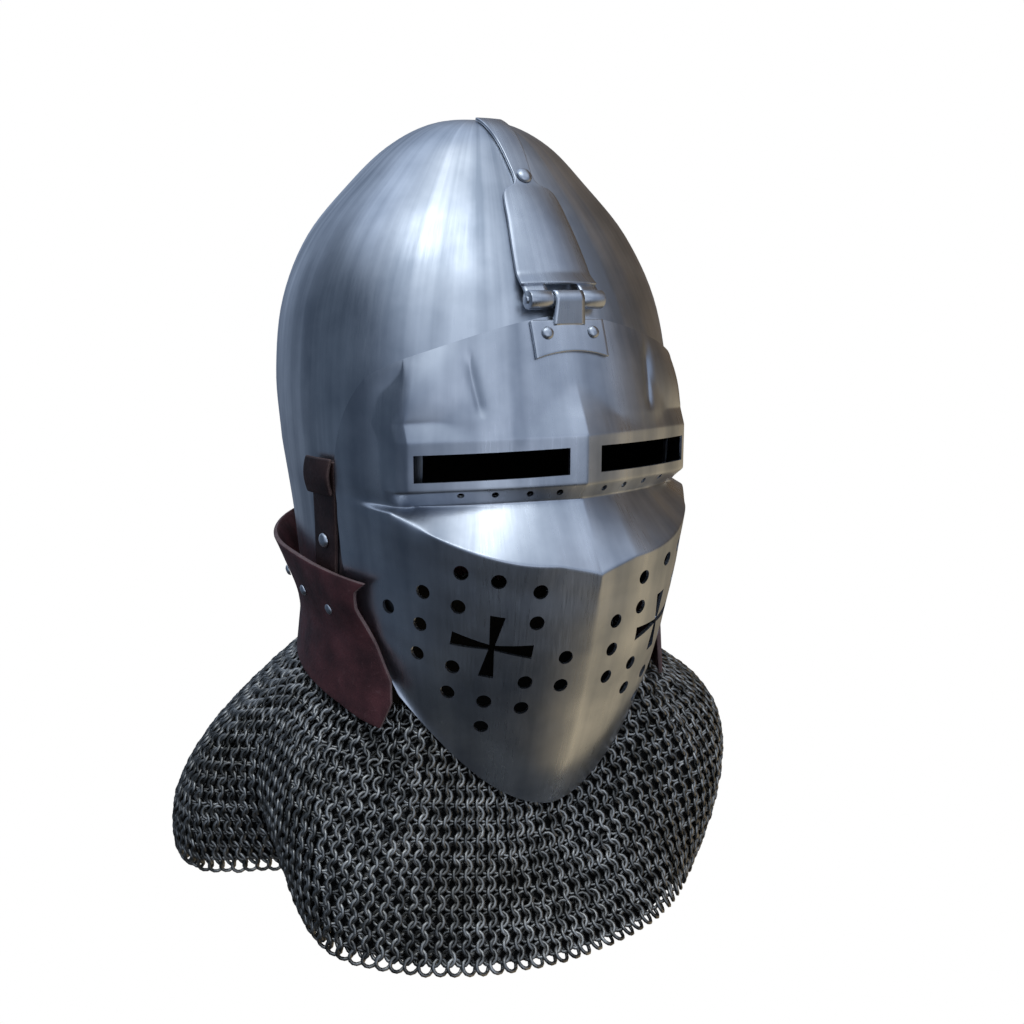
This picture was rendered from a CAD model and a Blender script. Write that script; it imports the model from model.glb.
"""Bascinet with a hinged visor, a leather band and a mail aventail: how each piece looks.

Metres, +Z up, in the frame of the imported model. The face looks along -Y and the wearer's left is
+X. The origin is the centre of the skull's plan at the height of the eyes.
"""

import math
import random

import bmesh
import bpy
import numpy as np
from mathutils import Matrix, Vector, noise
from mathutils.bvhtree import BVHTree


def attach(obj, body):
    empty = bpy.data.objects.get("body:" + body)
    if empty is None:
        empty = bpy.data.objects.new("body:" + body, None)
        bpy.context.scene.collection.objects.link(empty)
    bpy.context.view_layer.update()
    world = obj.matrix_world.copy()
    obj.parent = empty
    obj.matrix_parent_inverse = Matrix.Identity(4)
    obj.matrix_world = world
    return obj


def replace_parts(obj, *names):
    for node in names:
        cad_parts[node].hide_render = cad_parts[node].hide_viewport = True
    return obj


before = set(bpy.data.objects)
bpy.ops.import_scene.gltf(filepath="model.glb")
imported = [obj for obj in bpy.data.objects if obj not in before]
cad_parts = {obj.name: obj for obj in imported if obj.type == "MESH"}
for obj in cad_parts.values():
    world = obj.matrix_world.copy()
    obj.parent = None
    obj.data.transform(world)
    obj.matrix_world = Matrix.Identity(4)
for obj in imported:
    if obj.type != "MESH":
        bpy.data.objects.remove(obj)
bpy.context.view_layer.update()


# Skull
#
# The bowl of the helmet, raised from one sheet of mild steel 1.8 mm thick and left open for the
# face. It was planished over stakes, ground up its sides with a belt and brushed to a satin finish.
SKULL_TOP = 0.178
SKULL_DROP = 0.098
SKULL_HALF_WIDTH = 0.108
SKULL_FRONT = 0.104
SKULL_BACK = 0.135
SKULL_WALL = 0.0018
SKULL_SQUARENESS = 2.2
FACE_HALF_WIDTH = 0.076
FACE_TOP = 0.046
FACE_CORNER = 0.030
SKULL_COLUMNS = 160
SKULL_ROWS = 60
FACE_CORNER_STEPS = 16
PLANISHING_WIDTH = 0.034     # width of the flats that the hammer left
PLANISHING_DEPTH = 0.00022
PLATE_EDGE = 0.0004          # how wide a file broke the edges of the sheet
STREAK_RADIUS = 0.1          # radius at which the brushing is measured round the helmet
STREAK_STRETCH = 0.05        # how slowly the brushing changes up the helmet
CLOUD_SIZE = 0.045           # size of the faint clouds in the polish
SCRATCH_RELIEF = 0.0004
STEEL_TONES = (0.78, 1.22)   # sum of two noises at which the steel is darkest and lightest
NOISE_SPAN = (0.3, 0.7)      # what the values of one noise mostly lie between
FORGE_SCALE_SIZE = 0.012

# Plan sections, apex to lower edge: height as a share of SKULL_TOP above the eyes and of
# SKULL_DROP below them, then shares of SKULL_HALF_WIDTH, SKULL_FRONT, SKULL_BACK and SKULL_BACK.
SKULL_SECTIONS = [
    # height, width, front, back, centre
    (1.000, 0.000, 0.000, 0.000, 0.089),
    (0.980, 0.210, 0.220, 0.222, 0.074),
    (0.916, 0.402, 0.358, 0.455, 0.044),
    (0.809, 0.580, 0.475, 0.681, 0.022),
    (0.646, 0.808, 0.644, 0.867, 0.007),
    (0.449, 0.954, 0.808, 0.956, 0.000),
    (0.225, 1.000, 0.933, 1.000, 0.000),
    (0.000, 0.991, 1.000, 0.948, 0.000),
    (-0.408, 0.954, 0.962, 0.852, 0.000),
    (-0.816, 0.930, 0.885, 0.785, 0.000),
    (-1.000, 0.915, 0.856, 0.755, 0.000),
]


def mix(low, high, share):
    return low + (high - low) * share


def smooth(share):
    share = min(max(share, 0.0), 1.0)
    return share * share * (3 - 2 * share)


def spline(table, position):
    """Row of a table at a fractional row number, on a smooth curve through the rows."""
    rows = np.asarray(table, float)
    last = len(rows) - 1
    position = min(max(position, 0.0), last - 1e-9)
    index = int(position)
    t = position - index
    before = rows[index - 1] if index else 2 * rows[0] - rows[1]
    after = rows[index + 2] if index + 2 <= last else 2 * rows[last] - rows[last - 1]
    here, there = rows[index], rows[index + 1]
    return 0.5 * (
        2 * here
        + (there - before) * t
        + (2 * before - 5 * here + 4 * there - after) * t * t
        + (3 * here - before - 3 * there + after) * t ** 3
    )


def skull_section(row):
    """Height, half width, front, back and centre of the plan at a row of the table."""
    height, width, front, back, centre = spline(SKULL_SECTIONS, row)
    height *= SKULL_TOP if height > 0 else SKULL_DROP
    return (
        height,
        max(width, 0.0) * SKULL_HALF_WIDTH,
        max(front, 0.0) * SKULL_FRONT,
        max(back, 0.0) * SKULL_BACK,
        centre * SKULL_BACK,
    )


def skull_row_at(height):
    low, high = 0.0, len(SKULL_SECTIONS) - 1.0
    for _ in range(22):
        middle = 0.5 * (low + high)
        if skull_section(middle)[0] > height:
            low = middle
        else:
            high = middle
    return low


def skull_point(angle, row, out=0.0):
    """Point of the skull's outside. The angle is 0 at the face and positive towards +X."""
    height, width, front, back, centre = skull_section(row)
    power = 2 / SKULL_SQUARENESS
    across, along = math.sin(angle), math.cos(angle)
    depth = front if along > 0 else back
    return Vector((
        math.copysign(abs(across) ** power, across) * (width + out),
        centre - math.copysign(abs(along) ** power, along) * (depth + out),
        height,
    ))


def skull_reach(x, height, out=0.0):
    """Y of the skull's front at X and a height, moved outwards."""
    _, width, front, _, centre = skull_section(skull_row_at(height))
    share = min(abs(x) / (width + out), 1.0)
    return centre - (front + out) * (1 - share ** SKULL_SQUARENESS) ** (1 / SKULL_SQUARENESS)


def skull_side(y, height, out=0.0):
    """X of the skull's left side at Y and a height, moved outwards."""
    _, width, front, back, centre = skull_section(skull_row_at(height))
    depth = (front if y < centre else back) + out
    share = min(abs(y - centre) / depth, 1.0)
    return (width + out) * (1 - share ** SKULL_SQUARENESS) ** (1 / SKULL_SQUARENESS)


def heading(angle, rise=0.0):
    """Direction at an angle round from the face, positive towards +X, and an angle above level."""
    level = math.cos(rise)
    return Vector((math.sin(angle) * level, -math.cos(angle) * level, math.sin(rise)))


def planished(place, depth=PLANISHING_DEPTH, width=PLANISHING_WIDTH):
    """How far the hammer's flats stand in or out at a place, so that reflections wander."""
    return depth * noise.noise(place / width)


def add_object(name, data):
    """A new object in the scene."""
    made = bpy.data.objects.new(name, data)
    bpy.context.scene.collection.objects.link(made)
    return made


def mesh_of(name, shape):
    """The mesh of a bmesh, which is freed."""
    mesh = bpy.data.meshes.new(name)
    shape.to_mesh(mesh)
    shape.free()
    return mesh


def shade(mesh, angle):
    mesh.shade_smooth()
    mesh.set_sharp_from_angle(angle=math.radians(angle))


def finished_mesh(name, shape, materials, body, slot, angle=40):
    """Turns a bmesh into a piece with smooth faces, its finish and the body that carries it."""
    mesh = mesh_of(name, shape)
    shade(mesh, angle)
    for material in materials:
        mesh.materials.append(material)
    piece = add_object(name, mesh)
    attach(piece, body)
    return piece


def add_modifier(piece, kind, **settings):
    modifier = piece.modifiers.new(kind.lower(), kind)
    for key, value in settings.items():
        setattr(modifier, key, value)


def apply_modifiers(piece, angle=40):
    """Makes what the modifiers give the piece's own mesh."""
    evaluated = piece.evaluated_get(bpy.context.evaluated_depsgraph_get())
    mesh = bpy.data.meshes.new_from_object(evaluated)
    piece.modifiers.clear()
    piece.data = mesh
    shade(mesh, angle)


def break_edges(piece, width):
    """Rounds a piece's sharp edges, as a file or a leather edger does."""
    add_modifier(
        piece, "BEVEL", width=width, segments=2, limit_method="ANGLE", angle_limit=math.radians(50)
    )


def thicken(piece, wall, offset=1.0, edge=0.0):
    """Gives a surface its wall, outwards at offset 1 and inwards at -1, and breaks its edges."""
    rim = len(piece.data.materials) - 1
    add_modifier(piece, "SOLIDIFY", thickness=wall, offset=offset, material_offset_rim=rim)
    if edge:
        break_edges(piece, edge)


def carve(piece, cutter):
    """Cuts one closed bmesh, or several that don't touch, out of a piece."""
    tool = add_object("cutter", mesh_of("cutter", cutter))
    add_modifier(piece, "BOOLEAN", operation="DIFFERENCE", solver="EXACT", object=tool)
    apply_modifiers(piece)
    mesh = tool.data
    bpy.data.objects.remove(tool, do_unlink=True)
    bpy.data.meshes.remove(mesh)


def prism(shape, outline, front, rear):
    """Adds a closed prism along Y to a bmesh. Its outline is a list of X and Z."""
    face = shape.faces.new([shape.verts.new((x, front, z)) for x, z in outline])
    moved = bmesh.ops.extrude_face_region(shape, geom=[face])["geom"]
    corners = [item for item in moved if isinstance(item, bmesh.types.BMVert)]
    bmesh.ops.translate(shape, verts=corners, vec=(0, rear - front, 0))
    bmesh.ops.recalc_face_normals(shape, faces=shape.faces)
    return list(face.verts) + corners


def linear(colour):
    """An sRGB hex colour as the linear colour that a shader takes."""
    parts = [int(colour[place:place + 2], 16) / 255 for place in (1, 3, 5)]
    return (*[c / 12.92 if c <= 0.04045 else ((c + 0.055) / 1.055) ** 2.4 for c in parts], 1.0)


def add_node(owner, kind, inputs=None, **settings):
    """Adds a node to a material or world. Inputs are values, or the sockets they are linked to."""
    node = owner.node_tree.nodes.new(kind)
    for key, value in settings.items():
        setattr(node, key, value)
    for key, value in (inputs or {}).items():
        if isinstance(value, bpy.types.NodeSocket):
            owner.node_tree.links.new(value, node.inputs[key])
        else:
            node.inputs[key].default_value = value
    return node


def compute(owner, kind, operation, *values, out=0):
    """The result of a maths node, whose inputs are given in order."""
    node = add_node(owner, "ShaderNode" + kind, dict(enumerate(values)), operation=operation)
    return node.outputs[out]


def cloud(owner, place, size, detail, **others):
    """Noise with lumps of about one size."""
    inputs = {"Vector": place, "Scale": 1 / size, "Detail": detail, **others}
    return add_node(owner, "ShaderNodeTexNoise", inputs).outputs[0]


def remap(owner, value, span, low=0.0, high=1.0, **settings):
    """Moves the values of a span to what lies between low and high, and clamps the rest."""
    inputs = {0: value, "From Min": span[0], "From Max": span[1], "To Min": low, "To Max": high}
    return add_node(owner, "ShaderNodeMapRange", inputs, **settings).outputs[0]


def blend(owner, share, low, high):
    """One colour at share 0, another at 1. Each is an sRGB hex colour, a linear one or a socket."""
    low, high = [linear(end) if isinstance(end, str) else end for end in (low, high)]
    inputs = {0: share, 6: low, 7: high}
    return add_node(owner, "ShaderNodeMix", inputs, data_type="RGBA").outputs[2]


def bump(owner, height, strength, depth, **under):
    inputs = {"Height": height, "Strength": strength, "Distance": depth, **under}
    return add_node(owner, "ShaderNodeBump", inputs).outputs[0]


def new_material(name, **constants):
    """A material, its Principled shader with sockets set to constants, and object coordinates."""
    material = bpy.data.materials.new(name)
    material.use_nodes = True
    shader = material.node_tree.nodes["Principled BSDF"]
    for key, value in constants.items():
        shader.inputs[key].default_value = value
    return material, shader, add_node(material, "ShaderNodeTexCoord").outputs["Object"]


def drive(material, shader, colour, rough=None, normal=None):
    """Links what was computed to the shader."""
    for key, value in (("Base Color", colour), ("Roughness", rough), ("Normal", normal)):
        if value:
            material.node_tree.links.new(value, shader.inputs[key])
    return material


# Mild steel, ground and brushed upwards: the eye sees soft upright bands, fine scratches that draw
# highlights out along the brushing, and a faint cloudiness in the polish.
def brushed_steel(name, light, dark, roughness, streak, scratch=0.0006, relief=0.02):
    material, shader, place = new_material(name, Metallic=1.0)
    level = compute(material, "VectorMath", "MULTIPLY", place, (1, 1, 0))
    around = compute(material, "VectorMath", "NORMALIZE", level)
    upright = compute(material, "VectorMath", "MULTIPLY", place, (0, 0, STREAK_STRETCH))
    brushing = compute(
        material, "VectorMath", "MULTIPLY_ADD", around, (STREAK_RADIUS, STREAK_RADIUS, 0), upright
    )
    bands = cloud(material, brushing, streak, 3.0)
    # A brush scratch is about 0.1 mm wide and is drawn several times as wide, so that it shows.
    scratches = cloud(material, brushing, scratch, 2.0, Roughness=0.7)
    clouds = cloud(material, place, CLOUD_SIZE, 4.0)
    tone = compute(material, "Math", "ADD", bands, clouds)
    colour = blend(material, remap(material, tone, STEEL_TONES), dark, light)
    gloss = remap(material, bands, NOISE_SPAN, roughness + 0.05, roughness - 0.04)
    grain = remap(material, scratches, NOISE_SPAN, -0.05, 0.05)
    rough = compute(material, "Math", "ADD", gloss, grain)
    normal = bump(material, scratches, relief, SCRATCH_RELIEF)
    return drive(material, shader, colour, rough, normal)


skull_finish = brushed_steel("brushed mild steel", "#e2e5ea", "#a5acb6", 0.34, 0.013)

# Blackened steel: forge scale left inside the shells, dull, patchy and nearly black.
inside_finish, shader, place = new_material("blackened steel", Metallic=0.6, Roughness=0.7)
forge_scale = cloud(inside_finish, place, FORGE_SCALE_SIZE, 6.0)
drive(inside_finish, shader, blend(inside_finish, forge_scale, "#0b0b0e", "#1d1c1f"))

shape = bmesh.new()
bmesh.ops.create_uvsphere(shape, u_segments=SKULL_COLUMNS, v_segments=2 * SKULL_ROWS, radius=1.0)
below = [vertex for vertex in shape.verts if vertex.co.z < -0.001]
bmesh.ops.delete(shape, geom=below, context="VERTS")
for vertex in shape.verts:
    share = math.acos(min(vertex.co.z, 1.0)) / (math.pi / 2)
    angle = math.atan2(vertex.co.x, -vertex.co.y)
    vertex.co = skull_point(angle, share * (len(SKULL_SECTIONS) - 1))
shape.normal_update()
for vertex in shape.verts:
    vertex.co += vertex.normal * planished(vertex.co)
skull = finished_mesh("skull_shell", shape, [skull_finish, inside_finish], "helmet", "skull_steel")
add_modifier(skull, "SOLIDIFY", thickness=SKULL_WALL, offset=-1.0, material_offset=1)

opening = bmesh.new()
outline = [(-FACE_HALF_WIDTH, -2 * SKULL_DROP)]
for side in (-1, 1):
    for step in range(FACE_CORNER_STEPS + 1):
        turn = math.pi / 2 * step / FACE_CORNER_STEPS
        turn = turn if side < 0 else math.pi / 2 - turn
        outline.append((
            side * (FACE_HALF_WIDTH - FACE_CORNER + FACE_CORNER * math.cos(turn)),
            FACE_TOP - FACE_CORNER + FACE_CORNER * math.sin(turn),
        ))
outline.append((FACE_HALF_WIDTH, -2 * SKULL_DROP))
prism(opening, outline, -2 * SKULL_FRONT, -0.35 * SKULL_FRONT)
carve(skull, opening)
break_edges(skull, PLATE_EDGE)
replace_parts(skull, "skull")


# Visor
#
# The pointed face guard, one sheet of the same steel with a keel down its middle. The eye box is
# stepped out with a sloping shelf on top. Slits, breath holes and two crosses are cut through it.
VISOR_WALL = 0.0018
VISOR_OUT = 0.0014 + VISOR_WALL      # gap to the skull, and the wall
VISOR_TOP = 0.072
VISOR_SPRING = 0.030
LEDGE_UP = 0.0215
SHELF_UP = 0.0125            # front edge of the shelf
SHELF_SLOPE = 0.0036         # how far the shelf's rear edge stands back
FRAME_DOWN = 0.0125
VALLEY_DOWN = 0.0205
VALLEY_BACK = 0.0048         # how far the valley stands behind the eye box
NOSE_DOWN = 0.0565
CHIN_DOWN = 0.1946
BRIDGE_REACH = 0.112
NOSE_REACH = 0.1264
CHIN_REACH = 0.0806
BOX_HALF_WIDTH = 0.090
BOX_END_REACH = 0.079
BOX_SLOPES = (0.16, 0.57)    # how steeply the front curve falls back at the keel and at its end
BOX_STEP = 0.012
TOP_WIDTH = 0.911            # widths of the front's curves as shares of BOX_HALF_WIDTH
VALLEY_WIDTH = 0.955
CREASE_WIDTH = 1.033
TOP_DROP = 0.021             # how far the upper edge falls to its ends
BROW_BULGE = 0.0035
VALLEY_SLOPES = (0.15, 0.80)
CREASE_SLOPES = (0.13, 1.60)
CHEEK_STEP = 0.003           # step behind the valley's ends, which runs out at the crease
STEP_FADE = 0.004            # over which a step grows until it stands off the skull
REAR_LEDGE_UP = 0.020        # heights at which the box's lines reach the rear edge
REAR_SHELF_UP = 0.0115
REAR_BOX_DOWN = 0.012
REAR_VALLEY_DOWN = 0.018
REAR_SPRING = 0.0246
REAR_SPRING_REACH = 0.325    # reach of the rear edge at the spring and at its top, as shares
REAR_TOP_REACH = 0.535
REAR_FOOT = 0.1246
SLIT_INNER = 0.0095
SLIT_OUTER = 0.0835
SLIT_UP = 0.0066
SLIT_DOWN = 0.0071
SLIT_DROOP = 0.0022
BREATH_DIAMETER = 0.0078
VENT_DIAMETER = 0.0036
CROSS_SPAN = 0.042
CROSS_RISE = 0.0355
CROSS_TIP = 0.0080
CROSS_WAIST = 0.0030
CROSS_CENTRE = (0.0515, -0.0925)
CROSS_TILT = 11
CUTTER_LENGTH = 0.007
FOLD_TOP_X = 0.056           # where the brow's folds start and end
FOLD_FOOT_X = 0.051
FOLD_WIDTH = 0.0020
FOLD_DEPTH = 0.0018
BOX_CHAMFER = 0.955          # share of the eye box's width at which its ends turn back
BOX_CHAMFER_DEPTH = 0.0035
VISOR_FLAT_WIDTH = 0.026     # flats that the hammer left on the visor
VISOR_FLAT_DEPTH = 0.00016
FRONT_SPAN = 10              # columns of the front and of the side
SIDE_SPAN = 4

# Curves of the lower face, crease to lower edge: the keel's way down and its reach as shares, the
# rear edge's reach as a share of SKULL_FRONT, the lengths of the curve's handles and its end slope.
FACE_CURVES = [
    # share down, keel reach, rear reach, front, side, turn
    (0.00, 1.000, 0.330, 0.630, 0.600, 0.27),
    (0.10, 0.935, 0.315, 0.630, 0.595, 0.28),
    (0.32, 0.795, 0.313, 0.600, 0.560, 0.32),
    (0.45, 0.675, 0.355, 0.570, 0.520, 0.38),
    (0.59, 0.530, 0.417, 0.530, 0.470, 0.46),
    (0.79, 0.310, 0.487, 0.450, 0.370, 0.65),
    (1.00, 0.000, 0.567, 0.300, 0.260, 1.60),
]

# Breath holes of the left half: angle from the keel about the upright line BREATH_AXIS_REACH in
# front of the origin, and height below the eyes as a share of CHIN_DOWN.
BREATH_AXIS_REACH = 0.030
BREATH_HOLES = [
    (9.6, 0.516), (10.1, 0.599),
    (19.8, 0.324), (20.6, 0.410), (23.7, 0.581), (24.7, 0.659),
    (32.5, 0.292), (38.5, 0.636), (40.3, 0.715),
    (43.5, 0.270), (45.0, 0.363), (48.6, 0.536), (51.5, 0.613),
    (56.2, 0.331), (58.6, 0.423), (61.1, 0.508),
    (70.4, 0.388),
]
LEFT_ONLY_HOLE = (9.0, 0.433)
VENT_PLACES = [0.0136, 0.0289, 0.0458, 0.0618]
VENT_DOWN = 0.0160

# Where the panel's ends are dished, above the eye box and below it.
DISHED_ENDS = [
    # lowest, highest, share of BOX_HALF_WIDTH from which it starts, rounds of smoothing
    (LEDGE_UP + 0.001, VISOR_TOP, 0.84, 6),
    (-0.036, -FRAME_DOWN - 0.003, 0.90, 14),
]


def hermite(start, end, slopes, length, share):
    """Value on a smooth curve with a slope at each end."""
    s2, s3 = share * share, share ** 3
    return (
        (2 * s3 - 3 * s2 + 1) * start
        + (s3 - 2 * s2 + share) * length * slopes[0]
        + (3 * s2 - 2 * s3) * end
        + (s3 - s2) * length * slopes[1]
    )


def face_row(share_down):
    """Fractional row of FACE_CURVES at a share of the way down."""
    shares = [row[0] for row in FACE_CURVES]
    return float(np.interp(share_down, shares, range(len(shares))))


def rear_edge(height):
    """Y of the visor's rear edge at a height: an arch above, a line falling forward below."""
    if height >= -REAR_SPRING:
        share = (height + REAR_SPRING) / (VISOR_TOP - VISOR_SPRING + REAR_SPRING)
        return -SKULL_FRONT * mix(REAR_SPRING_REACH, REAR_TOP_REACH, share ** 2.2)
    down = (-height - REAR_SPRING) / (REAR_FOOT - REAR_SPRING)
    return -SKULL_FRONT * spline([(row[2],) for row in FACE_CURVES], face_row(down))[0]


def side_point(corner, step, rear_height, share):
    """Point of the visor's side behind a corner of the front: it closes onto the skull."""
    start = corner.y + step
    y = mix(start, rear_edge(rear_height), share)
    z = mix(corner.z, rear_height, share)
    stand = max(corner.x - skull_side(start, corner.z, VISOR_OUT), 0)
    stand *= 1 - smooth((step - CHEEK_STEP) / STEP_FADE)
    return Vector((skull_side(y, z, VISOR_OUT) + stand * (1 - share) ** 2, y, z))


def top_curve(share):
    """Upper edge of the visor, lying on the skull."""
    x = TOP_WIDTH * BOX_HALF_WIDTH * share
    z = VISOR_TOP - TOP_DROP * share ** 1.6
    return Vector((x, skull_reach(x, z, VISOR_OUT), z))


def box_curve(share, height, back=0.0):
    """Front of the eye box at a height, or a line that stands back from it."""
    x = BOX_HALF_WIDTH * share
    y = hermite(-BRIDGE_REACH, -BOX_END_REACH, BOX_SLOPES, BOX_HALF_WIDTH, share)
    y += BOX_CHAMFER_DEPTH * max(share - BOX_CHAMFER, 0) / (1 - BOX_CHAMFER)
    return Vector((x, y + back, height - SLIT_DROOP * share ** 2))


def valley_curve(share):
    """Line of the groove under the eye box."""
    width = VALLEY_WIDTH * BOX_HALF_WIDTH
    end = -0.89 * BOX_END_REACH + 0.001
    y = hermite(-BRIDGE_REACH + VALLEY_BACK, end, VALLEY_SLOPES, width, share)
    return Vector((width * share, y, -VALLEY_DOWN - SLIT_DROOP * share ** 2))


def crease_curve(share):
    """Line from the nose's tip round to the side, where the cheek turns under."""
    width = CREASE_WIDTH * BOX_HALF_WIDTH
    y = hermite(-NOSE_REACH, -0.935 * BOX_END_REACH, CREASE_SLOPES, width, share)
    early, late = 0.19 * min(share / 0.25, 1.0) ** 0.8, 0.81 * share ** 2.9
    return Vector((width * share, y, mix(-NOSE_DOWN, -REAR_SPRING, early + late)))


def face_point(share, down):
    """Point of the lower face. The share runs round from the keel to the rear edge."""
    row = spline(FACE_CURVES, face_row(down))
    keel = -mix(CHIN_REACH, NOSE_REACH, row[1])
    rear_height = -mix(REAR_SPRING, REAR_FOOT, down)
    rear_y = -SKULL_FRONT * row[2]
    rear_x = skull_side(rear_y, rear_height, VISOR_OUT)
    front, side, turn = row[3] * SKULL_HALF_WIDTH, row[4] * SKULL_HALF_WIDTH, row[5]
    lean = math.hypot(1, turn)
    points = [
        (0.0, keel),
        (front, keel + 0.09 * front),
        (rear_x - side * turn / lean, rear_y - side / lean),
        (rear_x, rear_y),
    ]
    rest = 1 - share
    weights = [rest ** 3, 3 * share * rest ** 2, 3 * share ** 2 * rest, share ** 3]
    x, y = [sum(w * point[axis] for w, point in zip(weights, points)) for axis in (0, 1)]
    z = mix(-mix(NOSE_DOWN, CHIN_DOWN, down), rear_height, (x / rear_x) ** 1.8)
    return Vector((x, y, z))


def brow_relief(x, share):
    """Depth of the fold that was pinched into the brow above each slit."""
    aside = (abs(x) - mix(FOLD_TOP_X, FOLD_FOOT_X, share)) / FOLD_WIDTH
    return FOLD_DEPTH / (1 + aside * aside) * smooth(share / 0.35) * smooth((1 - share) / 0.15)


def off_skull(point):
    """Holds a point of the visor clear of the skull."""
    point.y = min(point.y, skull_reach(point.x, point.z, VISOR_OUT))
    return point


def upper_row(kind, share):
    """Front curve of a row above the crease, the step behind it and its rear height."""
    if kind == "brow":
        def front(u):
            point = top_curve(u).lerp(box_curve(u, LEDGE_UP, SHELF_SLOPE), share)
            point.y -= BROW_BULGE * 4 * share * (1 - share) * mix(-0.6, 1.0, u)
            point = off_skull(point)
            point.y += brow_relief(point.x, share)
            return point

        step = BOX_STEP * smooth((share - 0.08) / 0.6)
        return front, step, mix(VISOR_TOP - VISOR_SPRING, REAR_LEDGE_UP, share)
    if kind == "shelf":
        height, back = mix(LEDGE_UP, SHELF_UP, share), mix(SHELF_SLOPE, 0.0, share)
        rear_height = mix(REAR_LEDGE_UP, REAR_SHELF_UP, share)
        return (lambda u: off_skull(box_curve(u, height, back))), BOX_STEP, rear_height
    if kind == "box":
        height = mix(SHELF_UP, -FRAME_DOWN, share)
        rear_height = mix(REAR_SHELF_UP, -REAR_BOX_DOWN, share)
        return (lambda u: box_curve(u, height)), BOX_STEP, rear_height
    if kind == "under":
        return (
            (lambda u: box_curve(u, -FRAME_DOWN).lerp(valley_curve(u), share)),
            mix(BOX_STEP, CHEEK_STEP, share), mix(-REAR_BOX_DOWN, -REAR_VALLEY_DOWN, share),
        )
    return (
        (lambda u: valley_curve(u).lerp(crease_curve(u), share)),
        CHEEK_STEP * (1 - share), mix(-REAR_VALLEY_DOWN, -REAR_SPRING, share),
    )


def upper_point(column, kind, share):
    """Point of a row above the crease: its front curve, a rounded corner, then the side."""
    front, step, rear_height = upper_row(kind, share)
    if column <= FRONT_SPAN:
        return front(column / FRONT_SPAN)
    past = column - FRONT_SPAN
    if past < 1:
        return front(1.0).lerp(side_point(front(1.0), step, rear_height, 0.0), past)
    return side_point(front(1.0), step, rear_height, (past - 1) / (SIDE_SPAN - 1))


def visor_point(column, kind, share):
    """Point of the visor's left half. Columns run from the keel to the rear edge."""
    if kind != "face":
        return upper_point(column, kind, share)
    along = (column / (FRONT_SPAN + SIDE_SPAN)) ** 0.9
    point = face_point(along, share)
    settle = smooth(share / 0.22)
    if settle < 1:
        moved = point - face_point(along, 0.0)
        point = upper_point(column, "cheek", 1.0).lerp(point, settle) + moved * (1 - settle)
    return point


def shares(count, tight=0.0):
    """Even shares from 0 to 1, with one more close to each end where tight is above 0."""
    even = [step / count for step in range(count + 1)]
    return sorted(set(even + [tight, 1 - tight])) if tight else even


# Columns and rows of the visor's grid, closer over the folds, at the chamfers and along each bend.
front_columns = [
    share for share in shares(36) if not 0.545 < share < 0.642 and not 0.93 < share < 1
]
front_columns += [0.55 + 0.008 * step for step in range(12)]
front_columns += [0.012, BOX_CHAMFER - 0.008, BOX_CHAMFER, BOX_CHAMFER + 0.008, 0.985]
visor_columns = [FRONT_SPAN * share for share in sorted(front_columns)]
visor_columns += [FRONT_SPAN + part for part in (0.12, 0.5, 0.88)]
visor_columns += [FRONT_SPAN + 1 + (SIDE_SPAN - 1) * share for share in shares(12, 0.03)]
visor_rows = [("brow", share) for share in shares(14)[:-1] + [0.97]]
visor_rows += [("shelf", share) for share in (0.0, 0.12, 0.5, 0.88)]
visor_rows += [("box", share) for share in (0.0, 0.04, 0.2, 0.4, 0.6, 0.8, 0.95)]
visor_rows += [("under", share) for share in (0.0, 0.15, 0.5, 0.85)]
visor_rows += [("cheek", share) for share in (0.0, 0.05, *shares(8)[1:-1], 0.96)]
visor_rows += [("face", share) for share in (0.0, 0.012, *shares(32)[1:])]


def grid_shape(columns, rows, place, centre_height):
    """A bmesh grid whose point (u, v), both from 0 to 1, is moved to place(u, v).

    Its faces are turned away from the upright axis at the centre's height.
    """
    grid = bmesh.new()
    bmesh.ops.create_grid(grid, x_segments=columns, y_segments=rows, size=0.5)
    for vertex in grid.verts:
        u = round((vertex.co.x + 0.5) * columns) / columns
        v = round((vertex.co.y + 0.5) * rows) / rows
        vertex.co = place(u, v)
    bmesh.ops.recalc_face_normals(grid, faces=grid.faces)
    centre = Vector((0, 0, centre_height))
    if sum(face.normal.dot(face.calc_center_median() - centre) for face in grid.faces) < 0:
        bmesh.ops.reverse_faces(grid, faces=grid.faces)
    return grid


def visor_place(u, v):
    """Point of the whole visor. The left half is mirrored to the right."""
    half = len(visor_columns) - 1
    column = round(u * 2 * half) - half
    point = visor_point(visor_columns[abs(column)], *visor_rows[round(v * (len(visor_rows) - 1))])
    return Vector((math.copysign(point.x, column) if column else 0.0, point.y, point.z))


visor_shape = grid_shape(2 * (len(visor_columns) - 1), len(visor_rows) - 1, visor_place, -0.03)
for vertex in visor_shape.verts:
    vertex.co += vertex.normal * planished(vertex.co, VISOR_FLAT_DEPTH, VISOR_FLAT_WIDTH)

# The panel's ends were dished with a ball hammer, so that they run softly into the skull's side.
for low, high, inner, rounds in DISHED_ENDS:
    soft = [
        vertex for vertex in visor_shape.verts
        if low < vertex.co.z < high and abs(vertex.co.x) > inner * BOX_HALF_WIDTH
        and not vertex.is_boundary
    ]
    for _ in range(rounds):
        bmesh.ops.smooth_vert(
            visor_shape, verts=soft, factor=0.5, use_axis_x=True, use_axis_y=True, use_axis_z=True
        )
visor_tree = BVHTree.FromBMesh(visor_shape)

visor_finish = brushed_steel("ground mild steel", "#e0e3e8", "#a3a9b3", 0.32, 0.019)
visor = finished_mesh(
    "visor_shell", visor_shape, [visor_finish, inside_finish], "visor", "visor_steel"
)
add_modifier(visor, "SUBSURF", levels=1, render_levels=1)
add_modifier(visor, "SOLIDIFY", thickness=VISOR_WALL, offset=-1.0, material_offset=1)
apply_modifiers(visor)


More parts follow.
